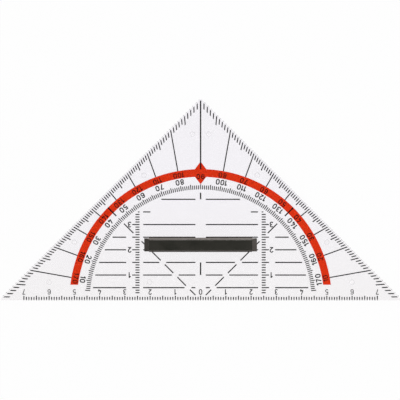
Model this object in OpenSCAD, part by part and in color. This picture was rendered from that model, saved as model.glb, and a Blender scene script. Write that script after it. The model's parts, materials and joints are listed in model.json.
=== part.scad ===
// Geometry triangle: a clear set square with a protractor, a ruler along its
// long side and a lift-off handle.
// The origin is the zero mark in the middle of the ruling edge, at paper level.
// +X runs along the ruling edge, +Y to the right-angled corner, +Z up.
// Everything that is printed lies on the underside of the plate.

/* [Plate] */
// Length of the ruling edge between its sharp corners
edge_l = 160; // [150:1:200]
// Thickness of the clear plate
plate_t = 2; // [1.6:0.1:3]
// Radius of the corners, seen from above
corner_r = 0.6; // [0.4:0.1:2]
// Bevel along the upper edges
bevel = 0.1; // [0.05:0.05:0.35]
// Diameter of a pip where it leaves the plate
pip_d = 2.2; // [1.8:0.1:3]
// Diameter of a pip where it stands on the paper
pip_tip_d = 1.2; // [0.8:0.1:1.6]
// Height of the pips, which hold the plate clear of wet ink
pip_h = 0.4; // [0.2:0.05:1]

/* [Ruler] */
// Distance from one mark of the ruler and the height scales to the next
mark_pitch = 1; // [0.9:0.01:1.1]
// Least distance from the last numbered mark to the corner
ruler_margin = 8; // [6:0.5:12]
// Width of a ruler mark
ruler_w = 0.42; // [0.15:0.01:0.5]
// Gap between the ruling edge and the ruler marks
ruler_gap = 0.2; // [0.1:0.05:0.5]
// Length of a ruler mark
ruler_l = 1.15; // [0.8:0.05:1.5]
// Length of every fifth ruler mark
ruler_long_l = 1.6; // [1.2:0.05:3]

/* [Protractor] */
// Gap between a leg and its degree marks
leg_gap = 0.5; // [0.1:0.05:0.8]
// Depth of a degree mark, square to the leg
leg_mark_l = 1.7; // [1:0.1:2.2]
// Depth of every fifth degree mark
leg_long_l = 2.7; // [2.3:0.1:3.5]
// Width of the lines that aim at the zero mark
degree_w = 0.43; // [0.15:0.01:0.5]
// Gap between the right-angled corner and the line that runs down from it
apex_gap = 0.9; // [0.5:0.1:2]
// Distance from the middle of a leg in to the red band
band_gap = 4.6; // [4.2:0.05:6]
// Width of the red band
band_w = 3.05; // [2:0.05:3.5]
// Height above the ruling edge at which the band is cut off
band_end_y = 6.15; // [3:0.05:10]
// Half the width of the pointer at the right angle
pointer_w = 3.45; // [2:0.05:4]
// Half the height of the pointer
pointer_h = 4.5; // [3:0.1:5]
// Width of the two ticks that cross the band at half a right angle
cross_w = 0.52; // [0.2:0.01:0.6]
// How far those ticks reach in past the band
cross_in = 1.7; // [0.5:0.1:2.5]
// Width of the clear ring that holds the degree numbers
number_ring_w = 3; // [2.6:0.05:4]
// Width of a mark on the degree ring, where the marks stand closer
ring_mark_w = 0.37; // [0.15:0.01:0.4]
// Length of a mark on the degree ring
ring_mark_l = 1.6; // [1:0.05:1.9]
// Length of every fifth mark on the degree ring
ring_long_l = 2; // [2:0.05:2.5]
// Gap between the degree ring and the lines inside it
field_gap = 1; // [0.5:0.1:2]

/* [Parallel lines] */
// Divisions from one parallel line to the next
line_count = 5; // [4:1:6]
// Width of a parallel line
line_w = 0.45; // [0.2:0.01:0.5]
// Half the gap in the lines at the centre
centre_gap = 2.05; // [1:0.05:3]
// Half the gap in the lines where a diagonal crosses
cross_gap = 1.35; // [1:0.05:2]
// Half the gap in a diagonal where a line crosses
diagonal_gap = 0.8; // [0.5:0.05:1.5]
// Half the width of the place that is kept free for a label
label_w = 19.9; // [10:0.1:21]
// Width of the line and the two marks on the centre line
centre_w = 0.54; // [0.2:0.01:0.6]
// Gap between the upper centre mark and the end of the lined field
centre_end_gap = 0.3; // [0.1:0.05:1]

/* [Height scales] */
// Divisions from the centre line to a height scale
scale_count = 25; // [24:1:27]
// Length of a mark, half of it on each side of the scale's line
scale_mark_l = 1.6; // [1:0.1:2]
// Reach of every fifth mark on the outer side of the scale's line
scale_long_l = 2.1; // [1.2:0.1:3]
// Gap between a height scale and the lines on its inner side
scale_inner_gap = 1.45; // [0.8:0.05:3]
// Gap between a height scale's long marks and the lines on its outer side
scale_outer_gap = 2.4; // [0.8:0.1:4]
// Half the gap that a height scale leaves in a diagonal
scale_cross_gap = 1.6; // [1.2:0.1:3]

/* [Ink] */
// Thickness of the black print
ink_t = 0.03; // [0.02:0.01:0.05]
// Thickness of the red print, laid over the black
red_t = 0.03; // [0.02:0.01:0.05]

/* [Handle] */
// Length of the handle's base
handle_l = 44.6; // [40:0.1:47]
// Width of the handle's base
handle_w = 5.65; // [5:0.05:7]
// Thickness of the handle's base where it meets the grip
base_t = 1; // [0.8:0.1:2]
// Thickness that is left at the edge of the base, whose upper faces fall away to it
base_edge_t = 0.5; // [0.3:0.05:0.7]
// Height of the handle above the plate
handle_h = 9; // [8:0.5:14]
// Distance from the ruling edge to the middle of the handle
handle_y = 22; // [21.5:0.1:22.3]
// How far the base stands out past each end of the grip
rim_end = 1.9; // [0.5:0.05:3]
// How far the base stands out along each side of the grip
rim_w = 0.75; // [0.3:0.05:0.9]
// How far the sides of the base are set in past the ends of the grip
end_inset = 0.2; // [0.1:0.05:0.5]
// Depth of the finger hollow on each side of the grip
hollow = 0.45; // [0.1:0.05:0.6]
// Height of a finger hollow
hollow_h = 5.6; // [3:0.1:5.8]
// Radius of the grip's upper edges
grip_r = 0.2; // [0.1:0.05:1]
// Radius of the grip's upright corners
grip_corner_r = 0.7; // [0.3:0.05:1]
// Radius of the base's upright corners
base_corner_r = 0.25; // [0.1:0.05:0.4]
// Wall left on each side of the core that is moulded into the grip
wall = 1.25; // [1:0.05:1.5]

/* [Clips] */
// Length of a clip under the handle
clip_l = 4.8; // [3:0.1:6]
// Thickness of a clip over both of its prongs
clip_w = 1.8; // [1.4:0.1:2.4]
// Distance from the end of the base to the middle of a clip
clip_inset = 5.8; // [5:0.1:7]
// Gap between the two prongs of a clip
clip_slot = 0.5; // [0.3:0.05:0.7]
// How far the slot of a clip runs up into the grip
clip_root = 1.5; // [0.5:0.1:3]
// Clearance round a clip in its window
clip_fit = 0.1; // [0.06:0.01:0.2]
// How far a clip ends short of the underside
clip_short = 0.1; // [0.05:0.05:0.3]
// Radius of the bead along each prong
bead_r = 0.3; // [0.2:0.05:0.4]
// How far a bead stands out, less than the clearance
bead_out = 0.04; // [0.01:0.01:0.05]
// Lead-in bevel at the tip of each prong
lead_in = 0.2; // [0.1:0.05:0.3]

/* [Hidden] */
$fn = 96;

// Overrun that carries a cut clear of the surface it starts from
over = 0.5;

// Half the ruling edge, which is also the height of the triangle
half_l = edge_l / 2;
// Distance from the zero mark to a leg
leg_dist = half_l / sqrt(2);
plate_top = pip_h + plate_t;

// The rings of the protractor are stacked inwards from the legs
band_ro = leg_dist - band_gap;
band_ri = band_ro - band_w;
pointer_y = (band_ro + band_ri) / 2;
ring_ro = band_ri - number_ring_w;
ring_ri = ring_ro - ring_long_l;
field_r = ring_ri - field_gap;
// The degree ring starts this many degrees above the ruling edge
ring_first = 5;

// Marks are long at every fifth division and numbered at every tenth
fives = 5;
tens = 10;
// Last division of the ruler on each side of the zero mark
ruler_last = tens * floor((half_l - ruler_margin) / (tens * mark_pitch));

line_pitch = line_count * mark_pitch;
// Parallel lines up to the one that stops short of the place kept free for a label
label_count = 7;
// Parallel lines up to the two ends of the lower centre mark
low_mark_counts = [2, 3];
// Parallel lines up to the start of the upper centre mark
high_mark_count = 8;

// Divisions up to the first mark of a height scale
scale_first_count = 3;
// Distance from the centre line to a height scale
scale_x = scale_count * mark_pitch;
// Where the parallel lines stop and start again to leave room for it
scale_stop = scale_x - scale_mark_l / 2 - scale_inner_gap;
scale_start = scale_x + scale_long_l + scale_outer_gap;

// Places of the upper pips: [degrees at the zero mark, share of the way to the leg]
pip_shares = [[24.7, 0.913], [65.6, 0.9], [87.2, 0.863]];
// The lower pips stand between two parallel lines, inside and outside the protractor
low_pip_row_share = 1.44;
low_pip_share = 0.75;
low_pip_gap = 4.8;

grip_l = handle_l - 2 * rim_end;
grip_w = handle_w - 2 * rim_w;
// A cylinder that sinks this deep over this height cuts the finger hollow
hollow_r = (hollow_h * hollow_h / 4 + hollow * hollow) / (2 * hollow);
hollow_z = (base_t + handle_h) / 2;
clip_x = handle_l / 2 - clip_inset;
clip_drop = plate_t - clip_short;
// The core lies between the clips
core_l = 2 * (clip_x - clip_l / 2 - wall);
core_w = grip_w - 2 * wall;
core_h = handle_h - 2 * wall;

clear = [0.93, 0.93, 0.96, 0.5];
black = "#2d2c2e";
red = "#d7320f";
moulded_black = "#322f2b";

// Point at a distance r from the zero mark, at an angle counted from +X
function at(a, r) = [r * cos(a), r * sin(a)];

// Distance from the zero mark, at an angle, to a line this far inside the right leg,
// on a ray that is moved aside
function leg_r(a, inset = 0, aside = 0) =
    (half_l - inset * sqrt(2) - aside * (cos(a) - sin(a))) / (cos(a) + sin(a));

// The point where that ray meets that line
function leg_point(a, inset, aside) = at(a, leg_r(a, inset, aside)) + at(a + 90, aside);

// Half the width of the lined field at a height
function field_x(y) = sqrt(max(0, field_r * field_r - y * y));

// What is left of the pieces of a line, each [start, end], when a gap is taken out
function cut(pieces, gap) = [
    for (p = pieces) each [[p[0], min(p[1], gap[0])], [max(p[0], gap[1]), p[1]]]
];
function cut_all(pieces, gaps, i = 0) =
    i == len(gaps) ? pieces : cut_all(cut(pieces, gaps[i]), gaps, i + 1);

// The pips on the right-hand side
low_pip_y = low_pip_row_share * line_pitch;
pips = concat(
    [[scale_x - low_pip_gap, low_pip_y], [low_pip_share * half_l, low_pip_y]],
    [for (p = pip_shares) at(p[0], p[1] * leg_r(p[0]))]
);

// Both the thing itself and its mirror image
module both_sides() {
    children();
    mirror([1, 0, 0]) children();
}

// A printed shape of the given outline
module ink(outline) {
    color(black) translate([0, 0, pip_h - ink_t]) linear_extrude(ink_t) polygon(outline);
}

// A straight printed line from p to q
module stroke(p, q, w) {
    side = w / 2 * [p[1] - q[1], q[0] - p[0]] / norm(q - p);
    ink([p - side, q - side, q + side, p + side]);
}

// The plate is a triangle with round corners, bevelled along its upper edges.
// Its sides face these ways: ruling edge, right leg, left leg.
facing = [-90, 45, 135];
corners = [
    [half_l - corner_r / tan(22.5), corner_r],
    [0, half_l - corner_r * sqrt(2)],
    [corner_r / tan(22.5) - half_l, corner_r]
];

module plate() {
    color(clear) {
        translate([0, 0, pip_h]) difference() {
            plate_blank();
            both_sides() window();
        }
        both_sides() for (p = pips) translate(p) pip();
    }
}

module plate_blank() {
    // The straight sides run from one round corner to the next
    sides = [for (i = [0:2]) each [
        corners[i] + at(facing[i], corner_r), corners[i] + at(facing[(i + 1) % 3], corner_r)
    ]];
    difference() {
        linear_extrude(plate_t) {
            polygon(sides);
            for (c = corners) translate(c) circle(corner_r);
        }
        for (i = [0:2]) translate(corners[i]) rotate(facing[i]) side_bevel();
    }
}

// Wedge that takes the bevel off the upper edge of a side that faces +X
module side_bevel() {
    translate([corner_r, 0, plate_t]) rotate([90, 0, 0])
        linear_extrude(2 * edge_l, center = true)
            polygon([[over, over], [-bevel - over, over], [over, -bevel - over]]);
}

// Opening in the plate for one clip of the handle
module window() {
    l = clip_l + 2 * clip_fit;
    w = clip_w + 2 * clip_fit;
    translate([clip_x - l / 2, handle_y - w / 2, -over]) cube([l, w, plate_t + 2 * over]);
}

module pip() {
    cylinder(h = pip_h, d1 = pip_tip_d, d2 = pip_d);
}

// The handle is a bar that stands on a thin base, with two clips below
module handle() {
    color(moulded_black) translate([0, handle_y, plate_top]) {
        difference() {
            union() {
                base();
                grip();
            }
            core();
            both_sides() clip_slot_cut();
        }
        both_sides() difference() {
            clip();
            clip_slot_cut();
        }
    }
}

// The base is widest along the grip, and falls away on all four sides like a hipped roof
module base() {
    intersection() {
        union() {
            round_bar(handle_l, handle_w - 2 * end_inset, base_t, base_corner_r);
            round_bar(grip_l, handle_w, base_t, base_corner_r);
        }
        rotate([90, 0, 90]) linear_extrude(handle_l + 2 * over, center = true) roof(handle_w, rim_w);
        rotate([90, 0, 0]) linear_extrude(handle_w + 2 * over, center = true) roof(handle_l, rim_end);
    }
}

// An upright outline as thick as the base, which falls away to its edge over each rim
module roof(w, rim) {
    polygon([[-w / 2, 0], [w / 2, 0], [w / 2, base_edge_t], [w / 2 - rim, base_t],
        [rim - w / 2, base_t], [-w / 2, base_edge_t]]);
}

// The grip has rounded upper edges and a finger hollow on each side
module grip() {
    difference() {
        intersection() {
            round_bar(grip_l, grip_w, handle_h, grip_corner_r);
            rotate([90, 0, 90]) linear_extrude(grip_l + 2 * over, center = true) arch(grip_w);
            rotate([90, 0, 0]) linear_extrude(grip_w + 2 * over, center = true) arch(grip_l);
        }
        for (side = [-1, 1])
            translate([0, side * (grip_w / 2 - hollow + hollow_r), hollow_z]) rotate([0, 90, 0])
                cylinder(h = handle_l, r = hollow_r, center = true);
    }
}

// An upright outline as high as the handle, with rounded upper corners
module arch(w) {
    translate([-w / 2, 0]) square([w, handle_h - grip_r]);
    translate([grip_r - w / 2, 0]) square([w - 2 * grip_r, handle_h]);
    for (x = [-1, 1]) translate([x * (w / 2 - grip_r), handle_h - grip_r]) circle(grip_r);
}

// A bar along X whose upright corners are rounded
module round_bar(l, w, h, r) {
    linear_extrude(h) {
        square([l, w - 2 * r], center = true);
        square([l - 2 * r, w], center = true);
        for (x = [-1, 1], y = [-1, 1]) translate([x * (l / 2 - r), y * (w / 2 - r)]) circle(r);
    }
}

// Hollow that is left open below to keep the walls even
module core() {
    translate([-core_l / 2, -core_w / 2, -over]) cube([core_l, core_w, core_h + over]);
}

module clip() {
    difference() {
        union() {
            translate([clip_x - clip_l / 2, -clip_w / 2, -clip_drop])
                cube([clip_l, clip_w, clip_drop + base_t / 2]);
            for (side = [-1, 1])
                translate([clip_x, side * (clip_w / 2 + bead_out - bead_r), bead_r + lead_in - clip_drop])
                    rotate([0, 90, 0]) cylinder(h = clip_l, r = bead_r, center = true);
        }
        for (turn = [0, 180]) translate([clip_x, 0, -clip_drop]) rotate(turn) lead_in_cut();
    }
}

// Wedge that bevels the outer edge of a prong's tip on the +Y side
module lead_in_cut() {
    translate([0, clip_w / 2, 0]) rotate([90, 0, 90])
        linear_extrude(clip_l + 2 * over, center = true)
            polygon([[over, -over], [over, lead_in + over], [-lead_in - over, -over]]);
}

// Slot that parts the two prongs of a clip
module clip_slot_cut() {
    translate([clip_x - clip_l / 2 - over, -clip_slot / 2, -clip_drop - over])
        cube([clip_l + 2 * over, clip_slot, clip_drop + clip_root + over]);
}

// Marks along the ruling edge
module edge_ruler() {
    for (i = [-ruler_last:ruler_last]) {
        l = i % fives == 0 ? ruler_long_l : ruler_l;
        stroke([i * mark_pitch, ruler_gap], [i * mark_pitch, ruler_gap + l], ruler_w);
    }
}

// Degree marks along a leg: their sides aim at the zero mark, their ends lie along the leg
module leg_scale() {
    side = degree_w / 2;
    for (a = [1:89]) if (a % tens != 0) {
        end = leg_gap + (a % fives == 0 ? leg_long_l : leg_mark_l);
        ink([leg_point(a, leg_gap, -side), leg_point(a, leg_gap, side),
            leg_point(a, end, side), leg_point(a, end, -side)]);
    }
}

module leg_scale_right() {
    leg_scale();
}

module leg_scale_left() {
    mirror([1, 0, 0]) leg_scale();
}

// Lines from the legs to the red band at every tenth degree, and the ticks across the band
module degree_rays() {
    side = degree_w / 2;
    both_sides() {
        for (a = [tens:tens:90 - tens])
            ink([leg_point(a, leg_gap, -side), leg_point(a, leg_gap, side),
                at(a, band_ro) + at(a + 90, side), at(a, band_ro) - at(a + 90, side)]);
        stroke(at(45, band_ro), at(45, band_ri - cross_in), cross_w);
    }
    stroke([0, half_l - apex_gap], [0, band_ro], centre_w);
}

// Degree marks in a half circle
module degree_ring() {
    for (a = [ring_first:180 - ring_first]) {
        l = a % fives == 0 ? ring_long_l : ring_mark_l;
        stroke(at(a, ring_ri), at(a, ring_ri + l), ring_mark_w);
    }
}

// Red band with a pointer at the right angle, printed over the black marks
module red_band() {
    color(red) translate([0, 0, pip_h - ink_t - red_t]) {
        difference() {
            cylinder(h = red_t, r = band_ro);
            translate([0, 0, -over]) cylinder(h = red_t + 2 * over, r = band_ri);
            translate([-half_l, band_end_y - edge_l, -over]) cube([edge_l, edge_l, red_t + 2 * over]);
        }
        translate([0, pointer_y, 0]) linear_extrude(red_t)
            polygon([[pointer_w, 0], [0, pointer_h], [-pointer_w, 0], [0, -pointer_h]]);
    }
}

// Lines at even heights, broken at the centre, at the diagonals and at the height scales
module parallel_lines() {
    both_sides() for (row = [1:floor(field_r / line_pitch)]) {
        y = row * line_pitch;
        start = row == label_count ? label_w : centre_gap;
        gaps = [[scale_stop, scale_start], [y - cross_gap, y + cross_gap]];
        for (p = cut_all([[start, field_x(y)]], gaps))
            if (p[1] - p[0] > line_w) stroke([p[0], y], [p[1], y], line_w);
    }
}

// Diagonal at half a right angle, broken where it crosses the other lines
module diagonal() {
    rows = [for (row = [1:floor(scale_stop / line_pitch)]) row * line_pitch];
    gaps = concat(
        [for (y = rows) [y - diagonal_gap, y + diagonal_gap]],
        [[scale_x - scale_cross_gap, scale_x + scale_cross_gap]]
    );
    for (p = cut_all([[centre_gap, field_r / sqrt(2)]], gaps))
        if (p[1] - p[0] > line_w) stroke([p[0], p[0]], [p[1], p[1]], line_w);
}

module diagonal_right() {
    diagonal();
}

module diagonal_left() {
    mirror([1, 0, 0]) diagonal();
}

// Marks that measure the height above the ruling edge, as far as the lined field reaches
module height_scale() {
    start = scale_x - scale_mark_l / 2;
    for (i = [scale_first_count:floor(field_r / mark_pitch)]) {
        y = i * mark_pitch;
        end = min(field_x(y), scale_x + (i % fives == 0 ? scale_long_l : scale_mark_l / 2));
        if (end - start > line_w) stroke([start, y], [end, y], degree_w);
    }
}

module height_scale_right() {
    height_scale();
}

module height_scale_left() {
    mirror([1, 0, 0]) height_scale();
}

// Two marks on the centre line
module centre_marks() {
    stroke([0, low_mark_counts[0] * line_pitch], [0, low_mark_counts[1] * line_pitch], centre_w);
    stroke([0, high_mark_count * line_pitch], [0, field_r - centre_end_gap], centre_w);
}

plate();
handle();
edge_ruler();
leg_scale_left();
leg_scale_right();
degree_rays();
degree_ring();
red_band();
parallel_lines();
diagonal_left();
diagonal_right();
height_scale_left();
height_scale_right();
centre_marks();
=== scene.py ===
# %% [markdown]
# # A geometry triangle
# This is a drawing tool of about 16 cm: a clear set square with a protractor, a ruler and
# parallel lines printed on its underside, and a black handle that clips on.
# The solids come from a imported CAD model: the plate, the handle and every printed line.
# This script gives them their finishes, prints the numbers, and builds a small studio.
# Everything is in metres. The origin is the zero mark on the ruling edge, at paper level.

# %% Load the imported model
import json
import math
import bpy
import numpy as np
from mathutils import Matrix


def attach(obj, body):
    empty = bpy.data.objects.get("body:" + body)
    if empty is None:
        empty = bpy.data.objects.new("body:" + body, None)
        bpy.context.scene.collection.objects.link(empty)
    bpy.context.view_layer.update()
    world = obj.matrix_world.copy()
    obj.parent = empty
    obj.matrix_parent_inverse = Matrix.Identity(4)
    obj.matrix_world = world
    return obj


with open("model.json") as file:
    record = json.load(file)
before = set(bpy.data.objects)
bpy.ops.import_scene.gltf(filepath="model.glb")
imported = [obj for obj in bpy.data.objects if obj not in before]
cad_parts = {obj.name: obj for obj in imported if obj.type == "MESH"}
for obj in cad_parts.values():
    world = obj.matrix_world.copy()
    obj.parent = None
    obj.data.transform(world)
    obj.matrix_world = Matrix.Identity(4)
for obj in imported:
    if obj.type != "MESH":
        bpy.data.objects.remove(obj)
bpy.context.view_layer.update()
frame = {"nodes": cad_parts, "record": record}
nodes = frame["nodes"]
print("CAD nodes:", sorted(nodes))

# %% [markdown]
# ## Sizes
# The numbers are printed in one go with the lines, so they lie at the same level, and they
# stand at the ends of the marks that they count.
# Their places could be typed in, but then they would be wrong as soon as the CAD changes.
# So the level of the print and the edges that the numbers stand at are measured here.

# %% Measure the print
MM = 0.001

def points(node):
    """All the points of a CAD node's mesh, in millimetres."""
    mesh = nodes[node].data
    flat = np.empty(3 * len(mesh.vertices))
    mesh.vertices.foreach_get("co", flat)
    return flat.reshape(-1, 3) / MM

ruler = points("edge_ruler")
ink_low, ink_high = ruler[:, 2].min(), ruler[:, 2].max()
ruler_end = ruler[:, 1].max()
scale_end = points("height_scale_right")[:, 0].max()

# The pointer sticks out of the band within 4 mm of the centre line, so it is left out
POINTER_REACH = 4.0
band = points("red_band")
band_radii = np.hypot(band[:, 0], band[:, 1])[np.abs(band[:, 0]) > POINTER_REACH]
band_inner, band_outer = band_radii.min(), band_radii.max()
ring = points("degree_ring")
ring_outer = np.hypot(ring[:, 0], ring[:, 1]).max()

print(f"black print from {ink_low:.3f} to {ink_high:.3f} mm above the paper")
print(f"ruler marks end at {ruler_end:.2f}, height marks at {scale_end:.2f} mm")
print(f"band from radius {band_inner:.2f} to {band_outer:.2f} mm")
print(f"degree ring out to radius {ring_outer:.2f} mm")

# %% [markdown]
# ## Helpers for finishes
# Colours are picked in sRGB, as on a screen, but a renderer adds up light, which is linear.
# One function turns a hex value to linear numbers, so that no colour is converted by hand.
# A node tree could be built by clicking. In a script, one small function that makes a node,
# sets it up and wires it keeps each finish short enough to read like a recipe.
# Every pattern is drawn on Object coordinates, whose unit is a metre here, so its scale is
# one over the real size of the pattern.

# %% Colour and node helpers
def linear(code):
    """sRGB hex to linear: the low part divided by 12.92, the rest a 2.4 power curve."""
    srgb = np.array([int(code[i:i + 2], 16) for i in (1, 3, 5)]) / 255
    value = np.where(srgb <= 0.04045, srgb / 12.92, ((srgb + 0.055) / 1.055) ** 2.4)
    return (*value.tolist(), 1.0)

def add(tree, kind, settings=None, inputs=None):
    """Adds a node. Settings are its properties, inputs are values or outputs to wire in."""
    node = tree.nodes.new(kind)
    for name, value in (settings or {}).items():
        setattr(node, name, value)
    for name, value in (inputs or {}).items():
        if isinstance(value, bpy.types.NodeSocket):
            tree.links.new(value, node.inputs[name])
        else:
            node.inputs[name].default_value = value
    return node

def per_metre(size_mm):
    """Scale of a pattern whose features are this size in millimetres."""
    return 1 / (size_mm * MM)

def new_material(name):
    """An empty material with its output node and the object coordinates to draw on."""
    material = bpy.data.materials.new(name)
    material.use_nodes = True
    tree = material.node_tree
    tree.nodes.clear()
    output = add(tree, "ShaderNodeOutputMaterial")
    place = add(tree, "ShaderNodeTexCoord").outputs["Object"]
    return material, tree, output, place

# Sockets of the node that mixes two colours: how much of the second, the first and the
# second go in, and the mix comes out. It blends them, or it multiplies them
SHARE, FIRST, SECOND = 0, 6, 7
MIXED = 2
BLEND = {"data_type": "RGBA"}
TIMES = {"data_type": "RGBA", "blend_type": "MULTIPLY"}
# A noise pattern hardly ever leaves this range, so it is stretched from here
NOISE_LOW, NOISE_HIGH = 0.3, 0.7

print("white is", [round(c, 3) for c in linear("#ffffff")])

# %% [markdown]
# ## The clear plate: PMMA, injection moulded in a polished tool
# The real plate is acrylic glass. Polish in the tool leaves it glossy on both faces, a hint
# of violet in the resin shows on white paper, and the melt that ran in from the gate leaves
# waves far too shallow to feel, which bend a reflection a little. Ten pips hold it off the
# paper, and painted shade darkens their flanks, so that each pip shows as a faint ring.
# It could be a plain glass shader, but light would then have to be bent down to the ink and
# back up, which leaves it dark and noisy. A thin clear plate lets most light straight
# through, so for shadow rays the surface is treated as open. Light that enters by an edge
# runs on between the two faces like in a fibre. A renderer gives up on it at last, which
# turns the edges black, so after a few reflections the surface lets it out.

# %% The tint of the plate
# The tint is painted a little warmer near the ruling edge, as painted light for the warmer
# light that falls there, and it drifts slowly. In millimetres: from where to where the
# painted warmth fades, and the size of the drift
LIGHT_WARM_BELOW, LIGHT_COOL_ABOVE = 5, 45
DRIFT = 30.0
# As shares of the way from the paper to the print: where the painted shade on a pip starts,
# and is most
PIP_SHADE_FROM, PIP_SHADE_MOST = 0.4, 0.9

def pmma_tint(tree, place):
    """Nearly white: a painted light tint for the distance from the ruling edge, times the
    drift, times the painted shade on the pips."""
    along = add(tree, "ShaderNodeSeparateXYZ", inputs={"Vector": place}).outputs
    painted_warmth_fade = add(tree, "ShaderNodeMapRange", inputs={
        "Value": along["Y"], "From Min": LIGHT_WARM_BELOW * MM,
        "From Max": LIGHT_COOL_ABOVE * MM}).outputs["Result"]
    # Painted light: the tint is warmer towards the ruling edge, where the light falls
    # warmer
    painted_light_tint = add(tree, "ShaderNodeMix", BLEND, {
        SHARE: painted_warmth_fade, FIRST: linear("#fcfafb"), SECOND: linear("#fcfafe")}).outputs[MIXED]
    cloud = add(tree, "ShaderNodeTexNoise", inputs={
        "Vector": place, "Scale": per_metre(DRIFT), "Detail": 1.0}).outputs["Fac"]
    unshaded_tint = add(tree, "ShaderNodeMix", TIMES, {
        SHARE: cloud, FIRST: painted_light_tint, SECOND: linear("#fefefe")}).outputs[MIXED]
    # Painted shade darkens the flank of each pip, so that it shows as a faint ring. Two
    # ranges make a tent, which is zero near the paper and again from the print upwards
    print_z = ink_low * MM
    above_tip = add(tree, "ShaderNodeMapRange", inputs={
        "Value": along["Z"], "From Min": PIP_SHADE_FROM * print_z,
        "From Max": PIP_SHADE_MOST * print_z}).outputs["Result"]
    below_print = add(tree, "ShaderNodeMapRange", inputs={
        "Value": along["Z"], "From Min": print_z,
        "From Max": PIP_SHADE_MOST * print_z}).outputs["Result"]
    pip_shade_mask = add(tree, "ShaderNodeMath", {"operation": "MULTIPLY"}, {
        0: above_tip, 1: below_print}).outputs["Value"]
    # Painted shade on the flanks of the pips
    return add(tree, "ShaderNodeMix", TIMES, {
        SHARE: pip_shade_mask, FIRST: unshaded_tint, SECOND: linear("#c8c8c8")}).outputs[MIXED]

# Where the painted warmth and the painted shade on the pips lie
print(f"warmer within {LIGHT_WARM_BELOW} mm of the edge, painted_shade below {ink_low:.2f} mm")

# %% The waves and the gloss of the plate
# The flow runs along the ruling edge, so its waves are three times as long along X. Then
# the width and depth of a wave and the width of a handled patch, in millimetres
FLOW_STRETCH = (0.33, 1.0, 1.0)
WAVE, WAVE_DEPTH = 9.0, 0.0006
HANDLED = 2.0

def pmma_skin(tree, place):
    """The bump of the waves, and a roughness that goes up where the plate is handled."""
    flow_place = add(tree, "ShaderNodeMapping", inputs={
        "Vector": place, "Scale": FLOW_STRETCH}).outputs["Vector"]
    flow = add(tree, "ShaderNodeTexNoise", inputs={
        "Vector": flow_place, "Scale": per_metre(WAVE), "Detail": 1.0}).outputs["Fac"]
    bump = add(tree, "ShaderNodeBump", inputs={
        "Height": flow, "Strength": 1.0, "Distance": WAVE_DEPTH * MM}).outputs["Normal"]
    handled = add(tree, "ShaderNodeTexNoise", inputs={
        "Vector": place, "Scale": per_metre(HANDLED), "Detail": 3.0}).outputs["Fac"]
    gloss = add(tree, "ShaderNodeMapRange", inputs={
        "Value": handled, "From Min": NOISE_LOW, "From Max": NOISE_HIGH,
        "To Min": 0.01, "To Max": 0.035}).outputs["Result"]
    return bump, gloss

print(f"waves of {WAVE} mm, {WAVE_DEPTH * 1000} micrometres deep")

# %% PMMA for the plate
# Light that has been bounced about more often than this is let out
TRAPPED_BOUNCES = 3.5

def moulded_pmma():
    """Clear and glossy, but open to shadow rays and to light that is trapped inside."""
    material, tree, output, place = new_material("pmma_polished")
    tint = pmma_tint(tree, place)
    bump, gloss = pmma_skin(tree, place)
    surface = add(tree, "ShaderNodeBsdfPrincipled", inputs={
        "Base Color": tint, "Roughness": gloss, "IOR": 1.49, "Transmission Weight": 1.0,
        "Normal": bump}).outputs["BSDF"]
    open_to_light = add(tree, "ShaderNodeBsdfTransparent", inputs={
        "Color": linear("#f8f7f9")}).outputs["BSDF"]
    rays = add(tree, "ShaderNodeLightPath").outputs
    let_out = add(tree, "ShaderNodeMath", {"operation": "GREATER_THAN"}, {
        0: rays["Ray Depth"], 1: TRAPPED_BOUNCES}).outputs["Value"]
    is_open = add(tree, "ShaderNodeMath", {"operation": "MAXIMUM"}, {
        0: rays["Is Shadow Ray"], 1: let_out}).outputs["Value"]
    both = add(tree, "ShaderNodeMixShader", inputs={
        0: is_open, 1: surface, 2: open_to_light}).outputs["Shader"]
    tree.links.new(both, output.inputs["Surface"])
    return material

pmma = moulded_pmma()
print("finish:", pmma.name)

# %% [markdown]
# ## The handle: black ABS with a spark-eroded texture
# The handle is moulded in ABS, coloured in the melt with a warm black. Its tool is left as
# the spark erosion machine leaves it, so the surface is covered in tiny craters, which make
# it satin rather than glossy and keep it from slipping between the fingers.
# Real craters are about 0.03 mm wide, which no picture of the whole tool can show, so they
# are drawn 0.18 mm wide. They could be modelled, but a bump costs nothing and is as fine.

# %% ABS for the handle
# In millimetres: a crater's width and depth, and the drift of the pigment and the gloss
CRATER, CRATER_DEPTH = 0.18, 0.012
PIGMENT_DRIFT = 6.0

def eroded_abs():
    """Warm black and satin, covered in small craters."""
    material, tree, output, place = new_material("abs_spark_eroded")
    craters = add(tree, "ShaderNodeTexNoise", inputs={
        "Vector": place, "Scale": per_metre(CRATER), "Detail": 4.0,
        "Roughness": 0.65}).outputs["Fac"]
    bump = add(tree, "ShaderNodeBump", inputs={
        "Height": craters, "Strength": 0.5,
        "Distance": CRATER_DEPTH * MM}).outputs["Normal"]
    cloud = add(tree, "ShaderNodeTexNoise", inputs={
        "Vector": place, "Scale": per_metre(PIGMENT_DRIFT)}).outputs["Fac"]
    colour = add(tree, "ShaderNodeMix", BLEND, {
        SHARE: cloud, FIRST: linear("#141712"), SECOND: linear("#191b15")}).outputs[MIXED]
    gloss = add(tree, "ShaderNodeMapRange", inputs={
        "Value": cloud, "From Min": NOISE_LOW, "From Max": NOISE_HIGH,
        "To Min": 0.31, "To Max": 0.39}).outputs["Result"]
    # Pigment lies in the skin of the moulding too, and warms what it mirrors
    surface = add(tree, "ShaderNodeBsdfPrincipled", inputs={
        "Base Color": colour, "Roughness": gloss, "IOR": 1.54,
        "Specular Tint": linear("#fff0ea"), "Normal": bump}).outputs["BSDF"]
    tree.links.new(surface, output.inputs["Surface"])
    return material

abs_plastic = eroded_abs()
print("finish:", abs_plastic.name)

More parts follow.
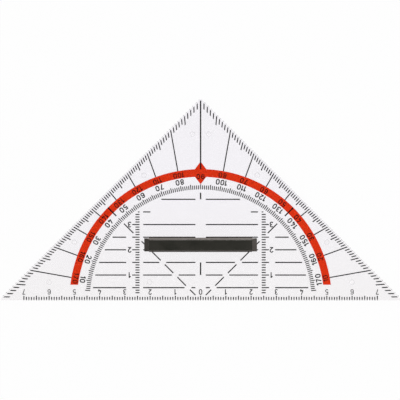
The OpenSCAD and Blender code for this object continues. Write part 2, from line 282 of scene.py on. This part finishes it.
# %% [markdown]
# ## The print: screen-print ink
# The lines are pressed through a fine mesh onto the underside of the plate, black first and
# the red band over it. A dried ink film is satin, and its thickness varies a little from
# one thread of the mesh to the next, so that it is a touch thinner in small spots.
# The mesh has about 0.1 mm between threads. That is too fine to show, so the spots are
# drawn 0.4 mm wide. One function makes both inks, since only the pigment differs.

# %% Black and red ink
# In millimetres: a thin spot's width and depth, and the drift of the gloss
SPOT, SPOT_DEPTH = 0.4, 0.004
GLOSS_DRIFT = 3.0

def screen_ink(name, dense, thin):
    """Ink that varies from a dense to a slightly thinner colour, with faint orange peel."""
    material, tree, output, place = new_material(name)
    spots = add(tree, "ShaderNodeTexNoise", inputs={
        "Vector": place, "Scale": per_metre(SPOT), "Detail": 3.0}).outputs["Fac"]
    colour = add(tree, "ShaderNodeMix", BLEND, {
        SHARE: spots, FIRST: linear(dense), SECOND: linear(thin)}).outputs[MIXED]
    bump = add(tree, "ShaderNodeBump", inputs={
        "Height": spots, "Strength": 0.3, "Distance": SPOT_DEPTH * MM}).outputs["Normal"]
    film = add(tree, "ShaderNodeTexNoise", inputs={
        "Vector": place, "Scale": per_metre(GLOSS_DRIFT)}).outputs["Fac"]
    gloss = add(tree, "ShaderNodeMapRange", inputs={
        "Value": film, "From Min": NOISE_LOW, "From Max": NOISE_HIGH,
        "To Min": 0.45, "To Max": 0.6}).outputs["Result"]
    # Ink that has wetted the plate has hardly any gloss of its own towards it
    surface = add(tree, "ShaderNodeBsdfPrincipled", inputs={
        "Base Color": colour, "Roughness": gloss, "IOR": 1.5, "Specular IOR Level": 0.1,
        "Normal": bump}).outputs["BSDF"]
    tree.links.new(surface, output.inputs["Surface"])
    return material

black_ink = screen_ink("screen_ink_black", "#201f21", "#2d2c2d")
red_ink = screen_ink("screen_ink_red", "#d42a00", "#e13602")
print("finishes:", black_ink.name, red_ink.name)

# %% Give the CAD nodes their finishes
FINISHES = {"clear_plastic": pmma, "moulded_black": abs_plastic,
            "black_ink": black_ink, "red_ink": red_ink}

for part in frame["record"]["subparts"]:
    slots = nodes[part["node"]].material_slots
    for slot in slots:
        slot.material = FINISHES[part["material_slot"]]
    print(f"{part['node']}: {part['material_slot']}, {len(slots)} slot(s)")

# %% [markdown]
# ## The numbers: strokes of even width
# The numbers on the scales are in a plain drafting hand: straight lines and parts of
# ellipses, drawn with a stroke of even width, like the letters of an old lettering stencil.
# They could be set with a font object, but a font's shape comes from a file, and these
# belong to the scales. So each digit is written here as the middle lines of its strokes,
# in a box that is 1 high. A thin rectangular profile is carried along each line, which is
# what the squeegee does with the ink.

# %% Arcs and lines
# In heights of a digit: the width of its box, how far the round sides stand from the middle
# of it, and a stroke's width. The scales' own strokes are 0.13 to 0.2 heights wide
DIGIT_W = 0.64
MIDDLE = DIGIT_W / 2
ROUND = 0.255
STROKE = 0.18
BOTTOM, TOP = STROKE / 2, 1 - STROKE / 2

def arc(centre, radius, start, end, count):
    """Points on an ellipse: centre plus radius times cosine and sine of an angle."""
    t = np.radians(np.linspace(start, end, count))
    return np.column_stack([np.cos(t), np.sin(t)]) * radius + centre

def path_of(*pieces, closed=False):
    """A stroke: the points of its arcs and corners, one after another, and if it closes."""
    return np.vstack(pieces), closed

def turned(strokes):
    """The same strokes turned by half a turn about the middle of the digit's box."""
    return [(np.array([DIGIT_W, 1]) - path, closed) for path, closed in strokes]

print(f"a digit's box is {DIGIT_W} by 1, its strokes run from {BOTTOM} to {TOP}")

# %% The middle lines of the digits
def oval(centre, radius, count):
    """A closed stroke round an ellipse, less its last point, which is the first again."""
    return path_of(arc(centre, radius, 0, 360, count)[:-1], closed=True)

six = [oval((MIDDLE, 0.31), (ROUND, 0.245), 21),
       path_of((MIDDLE - ROUND, 0.34), arc((MIDDLE, 0.66), (ROUND, 0.25), 180, 15, 10))]

# Each digit is a list of strokes
DIGITS = {
    "0": [path_of(arc((MIDDLE, 0.68), ROUND, 0, 180, 10),
                  arc((MIDDLE, 0.32), ROUND, 180, 360, 10), closed=True)],
    "1": [path_of((0.40, 0), (0.40, 1)),
          path_of((0.14, 0.71), (0.38, 0.94))],
    "2": [path_of(arc((0.315, 0.675), (0.25, 0.26), 170, -42, 13), (0.09, 0.075)),
          path_of((0.02, BOTTOM), (0.60, BOTTOM))],
    "3": [path_of(arc((0.31, 0.73), (0.215, 0.205), 155, -90, 13), (0.22, 0.525)),
          path_of((0.22, 0.525), arc((0.31, 0.295), (0.25, 0.23), 90, -155, 13))],
    "4": [path_of((0.36, 1), (0.075, 0.27)),
          path_of((0.01, 0.25), (0.64, 0.25)),
          path_of((0.455, 0.47), (0.455, 0))],
    "5": [path_of((0.555, TOP), (0.125, TOP), (0.105, 0.47)),
          path_of(arc((0.30, 0.315), (0.26, 0.25), 145, -150, 15))],
    "6": six,
    "7": [path_of((0.03, TOP), (0.61, TOP)),
          path_of((0.545, TOP), (0.20, 0))],
    "8": [oval((MIDDLE, 0.73), (0.205, 0.205), 17),
          oval((MIDDLE, 0.295), (0.25, 0.23), 19)],
    "9": turned(six),
}
print("strokes per digit:", {digit: len(strokes) for digit, strokes in DIGITS.items()})

# %% Carry a rectangular profile along a stroke
def ribbon(path, closed, width):
    """Solid stroke, with z running from 0 to 1.

    At each point the two sides are offset along the sum of the normals of the pieces that
    meet there, divided by one plus their dot product, which keeps the width even."""
    ahead = np.roll(path, -1, axis=0) - path
    ahead /= np.linalg.norm(ahead, axis=1, keepdims=True)
    behind = np.roll(ahead, 1, axis=0)
    if not closed:
        ahead[-1], behind[0] = behind[-1], ahead[0]
    normal_a, normal_b = (np.column_stack([-d[:, 1], d[:, 0]]) for d in (ahead, behind))
    mitre = (normal_a + normal_b) / (1 + (normal_a * normal_b).sum(1, keepdims=True))
    sides = np.stack([path + mitre * width / 2, path - mitre * width / 2])
    corners = np.stack([sides[0], sides[0], sides[1], sides[1]], axis=1)
    height = np.broadcast_to(np.array([1, 0, 0, 1.0])[:, None], (len(path), 4, 1))
    vertices = np.concatenate([corners, height], axis=2).reshape(-1, 3)
    here = np.arange(len(path) if closed else len(path) - 1)[:, None] * 4
    there = (here + 4) % (len(path) * 4)
    k, after = np.arange(4), (np.arange(4) + 1) % 4
    faces = np.stack([there + k, there + after, here + after, here + k], axis=2)
    faces = faces.reshape(-1, 4)
    if not closed:
        last = 4 * len(path) - 4
        faces = np.vstack([faces, [[0, 1, 2, 3]], [[last + 3, last + 2, last + 1, last]]])
    return vertices, faces

def joined(parts):
    """One set of vertices and faces from many: each part's faces count on from the last."""
    starts = np.cumsum([0] + [len(v) for v, f in parts[:-1]])
    return (np.concatenate([v for v, f in parts]),
            np.concatenate([f + s for (v, f), s in zip(parts, starts)]))

def digit_solid(digit, stroke, wide=1.0):
    """A digit in its box, 1 high. Its middle lines are stretched sideways by wide before
    they get their width, so that the strokes keep theirs."""
    return joined([ribbon(path * (wide, 1), closed, stroke)
                   for path, closed in DIGITS[digit]])

print("faces per digit:", {digit: len(digit_solid(digit, STROKE)[1]) for digit in DIGITS})

# %% [markdown]
# ## Where the numbers stand
# All numbers on this tool are read from the side of the right angle, by someone who pulls
# the ruling edge along the top of the sheet. So the tops of the digits point to the
# ruling edge on the straight scales, and to the zero mark on the protractor.
# The ruler counts in centimetres both ways from the zero mark. The protractor has two sets
# that run opposite ways, so that an angle can be read from either side: one on the clear
# ring inside the band, one on the band itself, and they share the 90 on the pointer.
# A number could be set straight, but round a protractor each digit follows the circle.
# As in the photograph, the strokes are finest on the red band and towards the ends of the
# ruler and boldest on the clear ring, and the ruler's digits are the narrowest.

# %% Place digits on straight scales and on circles
# How much of the line one digit takes up, in heights. A 1 is narrow and takes up less
ADVANCE, ONE_ADVANCE = 0.88, 0.5

def set_digit(digit, centre, up_angle, height, stroke, wide=1.0):
    """A digit's solid, scaled to its height in mm, turned so that its top points along
    up_angle in degrees, with the middle of its box at centre. The stroke is in mm too."""
    vertices, faces = digit_solid(digit, stroke / height, wide)
    up = np.array([math.cos(math.radians(up_angle)), math.sin(math.radians(up_angle))])
    across = np.array([up[1], -up[0]])
    local = (vertices[:, :2] - (wide * DIGIT_W / 2, 0.5)) * height
    flat = np.array(centre) + local[:, :1] * across + local[:, 1:] * up
    level = ink_low + vertices[:, 2:] * (ink_high - ink_low)
    return np.hstack([flat, level]) * MM, faces

def round_number(value, angle, radius, height, stroke):
    """A number on a circle about the zero mark, its tops inwards. Each digit stands in the
    middle of its own advance, and a length divided by the radius is an angle."""
    advances = np.array([ONE_ADVANCE if digit == "1" else ADVANCE for digit in value])
    middles = np.cumsum(advances) - advances / 2 - advances.sum() / 2
    turns = angle + np.degrees(middles * height / radius)
    t = np.radians(turns)
    centres = radius * np.column_stack([np.cos(t), np.sin(t)])
    return [set_digit(digit, centre, turn + 180, height, stroke)
            for digit, centre, turn in zip(value, centres, turns)]

def printed(name, parts):
    """A piece printed in black, which moves with the plate."""
    vertices, faces = joined(parts)
    mesh = bpy.data.meshes.new(name)
    mesh.from_pydata(vertices.tolist(), [], faces.tolist())
    mesh.materials.append(black_ink)
    mesh.update()
    piece = bpy.data.objects.new(name, mesh)
    bpy.context.scene.collection.objects.link(piece)
    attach(piece, "plate")
    print(f"{name}: {len(parts)} digits, {len(faces)} faces")

print(f"a number of two digits takes up {2 * ADVANCE:.2f} heights of its line")

# %% Numbers of the ruler
# Heights, strokes and the gap between marks and numbers are in millimetres
CENTIMETRE = 10
READ_FROM_TOP = -90
LAST_CM = 7
RULER_H, RULER_WIDE, RULER_GAP = 2.2, 0.88, 0.4
# The numbers from 5 on are finer
RULER_STROKE, FINE_STROKE, FINE_FROM = 0.34, 0.28, 5
ruler_y = ruler_end + RULER_GAP + RULER_H / 2

ruler_parts = []
for n in range(-LAST_CM, LAST_CM + 1):
    stroke = FINE_STROKE if abs(n) >= FINE_FROM else RULER_STROKE
    ruler_parts.append(set_digit(str(abs(n)), (n * CENTIMETRE, ruler_y), READ_FROM_TOP,
                                 RULER_H, stroke, RULER_WIDE))
printed("ruler_numbers", ruler_parts)

# %% Numbers of the height scales
HEIGHT_H, HEIGHT_STROKE, HEIGHT_GAP = 2.2, 0.39, 0.3
height_x = scale_end + HEIGHT_GAP + HEIGHT_H * DIGIT_W / 2

height_parts = [set_digit(str(n), (side * height_x, n * CENTIMETRE), READ_FROM_TOP,
                          HEIGHT_H, HEIGHT_STROKE) for side in (-1, 1) for n in (1, 2, 3)]
printed("height_numbers", height_parts)

# %% Numbers of the protractor
INNER_H, INNER_STROKE = 2.1, 0.415
OUTER_H, OUTER_STROKE = 2.0, 0.3
inner_r = (ring_outer + band_inner) / 2
# The outer numbers stand a little inside the middle of the band, and the 90 that they share
# with the inner ones well inside it, in the inner half of the pointer
OUTER_DROP, POINTER_DROP = 0.2, 1.4
band_r = (band_inner + band_outer) / 2
outer_r, pointer_r = band_r - OUTER_DROP, band_r - POINTER_DROP

tens = [n for n in range(10, 180, 10) if n != 90]
inner_parts = [part for n in tens
               for part in round_number(str(n), 180 - n, inner_r, INNER_H, INNER_STROKE)]
printed("inner_degree_numbers", inner_parts)

outer_parts = [part for n in tens
               for part in round_number(str(n), n, outer_r, OUTER_H, OUTER_STROKE)]
outer_parts += round_number("90", 90, pointer_r, OUTER_H, OUTER_STROKE)
printed("outer_degree_numbers", outer_parts)

# %% [markdown]
# ## The studio
# The tool lies on plain white paper and is photographed from straight above, as a product
# picture is. White paper could be lit until it clips, but that would burn out the clear
# plate too. Instead the paper shows as white to the camera, to gloss and through the clear
# plate by a share of its own light, and the rest of it is lit by the lamps, so that it
# keeps the tool's soft shadow.

# %% The paper
# Half its width in metres, a level just below the pips so that the two never share a
# plane, the share of its own light, and the size of its fibres in millimetres
FLOOR_HALF = 3.0
FLOOR_Z = -0.02 * MM
WHITE_SHARE = 0.93
FIBRE = 0.5

def drawing_paper():
    """White paper with faint fibres, part of whose white is its own light."""
    material, tree, output, place = new_material("drawing_paper")
    fibres = add(tree, "ShaderNodeTexNoise", inputs={
        "Vector": place, "Scale": per_metre(FIBRE), "Detail": 4.0,
        "Roughness": 0.6}).outputs["Fac"]
    colour = add(tree, "ShaderNodeMix", BLEND, {
        SHARE: fibres, FIRST: linear("#f8f8f8"), SECOND: linear("#ffffff")}).outputs[MIXED]
    lit = add(tree, "ShaderNodeBsdfDiffuse", inputs={"Color": colour}).outputs["BSDF"]
    white = add(tree, "ShaderNodeEmission", inputs={"Strength": 1.0}).outputs["Emission"]
    rays = add(tree, "ShaderNodeLightPath").outputs
    camera_or_gloss = add(tree, "ShaderNodeMath", {"operation": "MAXIMUM"}, {
        0: rays["Is Camera Ray"], 1: rays["Is Glossy Ray"]}).outputs["Value"]
    seen = add(tree, "ShaderNodeMath", {"operation": "MAXIMUM"}, {
        0: camera_or_gloss, 1: rays["Is Transmission Ray"]}).outputs["Value"]
    share = add(tree, "ShaderNodeMath", {"operation": "MULTIPLY"}, {
        0: seen, 1: WHITE_SHARE}).outputs["Value"]
    both = add(tree, "ShaderNodeMixShader", inputs={0: share, 1: lit, 2: white})
    tree.links.new(both.outputs["Shader"], output.inputs["Surface"])
    return material

corners = np.array([(-1, -1), (1, -1), (1, 1), (-1, 1)]) * FLOOR_HALF
paper_mesh = bpy.data.meshes.new("paper")
paper_mesh.from_pydata([(x, y, FLOOR_Z) for x, y in corners.tolist()], [], [(0, 1, 2, 3)])
paper_mesh.materials.append(drawing_paper())
paper = bpy.data.objects.new("paper", paper_mesh)
bpy.context.scene.collection.objects.link(paper)
print("paper", 2 * FLOOR_HALF, "m wide")

# %% [markdown]
# ## Light
# A product picture of something flat uses large soft lamps at the sides: one overhead would
# mirror in the plate. Two stand high on either side, and a small one on the right picks out
# the slope at that end of the handle's base.
# The long rims of the base slope so little that they only shine under a lamp low behind the
# tool and one low in front. But whoever looks along the plate would see those two mirrored
# in it, as a glare that hides the print. A photographer would hold cards in their way. Here
# light linking keeps them off everything but the handle.
# The room's pale walls give the rest of the light. Overhead it is dark, because the plate
# mirrors what is there too, and a bright ceiling would lay a grey haze over the inks.
# Together they are set so that a colour renders about as it is written.

# %% Lamps
TOOL_MIDDLE = (0, 0.04, 0)

def soft_lamp(name, place, width, height, power):
    """A rectangular lamp that faces the middle of the tool: its turn and its tilt are the
    two angles of the line from it to there. Metres and watts."""
    data = bpy.data.lights.new(name, "AREA")
    data.shape = "RECTANGLE"
    data.size, data.size_y, data.energy = width, height, power
    lamp = bpy.data.objects.new(name, data)
    bpy.context.scene.collection.objects.link(lamp)
    lamp.location = place
    aim = np.array(TOOL_MIDDLE) - place
    turn = math.atan2(aim[1], aim[0]) - math.pi / 2
    tilt = math.atan2(-aim[2], math.hypot(aim[0], aim[1]))
    lamp.rotation_euler = (math.pi / 2 - tilt, 0, turn)
    return lamp

soft_lamp("left_fill", (-0.62, 0.5, 1.1), 1.0, 1.0, 4.3)
soft_lamp("right_fill", (0.66, -0.42, 1.1), 1.0, 1.0, 4.3)
soft_lamp("end_lamp", (0.5, 0.1, 0.85), 0.4, 0.4, 0.65)
rim_lamps = [soft_lamp("rear_lamp", (0.1, 1.2, 0.48), 1.4, 0.8, 15.0),
             soft_lamp("front_lamp", (-0.1, -1.15, 0.48), 1.4, 0.8, 2.8)]

handle_only = bpy.data.collections.new("handle_only")
handle_only.objects.link(nodes["handle"])
for lamp in rim_lamps:
    lamp.light_linking.receiver_collection = handle_only
print("lamps on the handle only:", [lamp.name for lamp in rim_lamps])

# %% The room
# Strength of the room's light from the walls and from overhead, and where one ends and the
# other begins, as the sine of the height above the horizon
WALL_LIGHT, OVERHEAD_LIGHT = 0.7, 0.03
WALL_TOP, OVERHEAD_EDGE = 0.75, 0.93

world = bpy.data.worlds.new("studio")
bpy.context.scene.world = world
world.use_nodes = True
tree = world.node_tree
tree.nodes.clear()
direction = add(tree, "ShaderNodeTexCoord").outputs["Generated"]
rise = add(tree, "ShaderNodeSeparateXYZ", inputs={"Vector": direction}).outputs["Z"]
room_light = add(tree, "ShaderNodeMapRange", inputs={
    "Value": rise, "From Min": WALL_TOP, "From Max": OVERHEAD_EDGE,
    "To Min": WALL_LIGHT, "To Max": OVERHEAD_LIGHT}).outputs["Result"]
room = add(tree, "ShaderNodeBackground", inputs={
    "Color": linear("#ffffff"), "Strength": room_light}).outputs["Background"]
white_room = add(tree, "ShaderNodeBackground", inputs={
    "Color": linear("#ffffff"), "Strength": 1.0}).outputs["Background"]
rays = add(tree, "ShaderNodeLightPath").outputs
both = add(tree, "ShaderNodeMixShader", inputs={
    0: rays["Is Camera Ray"], 1: room, 2: white_room}).outputs["Shader"]
add(tree, "ShaderNodeOutputWorld", inputs={"Surface": both})
print(f"room light {WALL_LIGHT} from the walls, {OVERHEAD_LIGHT} from overhead")

# %% [markdown]
# ## The camera
# It looks straight down from a metre above the print, with the right angle at the top of
# the picture. The lens follows from the width that the picture has to cover at the print.

# %% Camera
# In millimetres: the sensor's width, the width of the picture at the print, the point that
# is in the middle of the picture, and how far the camera is above the print
SENSOR = 36.0
PICTURE_W = 158.54
CAMERA_X, CAMERA_Y, CAMERA_H = -0.238, 39.726, 1000.0

camera_data = bpy.data.cameras.new("camera")
camera_data.sensor_width = SENSOR
camera_data.lens = SENSOR * CAMERA_H / PICTURE_W
camera = bpy.data.objects.new("camera", camera_data)
bpy.context.scene.collection.objects.link(camera)
camera.location = (CAMERA_X * MM, CAMERA_Y * MM, (CAMERA_H + ink_high) * MM)
bpy.context.scene.camera = camera
bpy.context.scene.view_settings.view_transform = "Standard"
print(f"lens {camera_data.lens:.1f} mm")
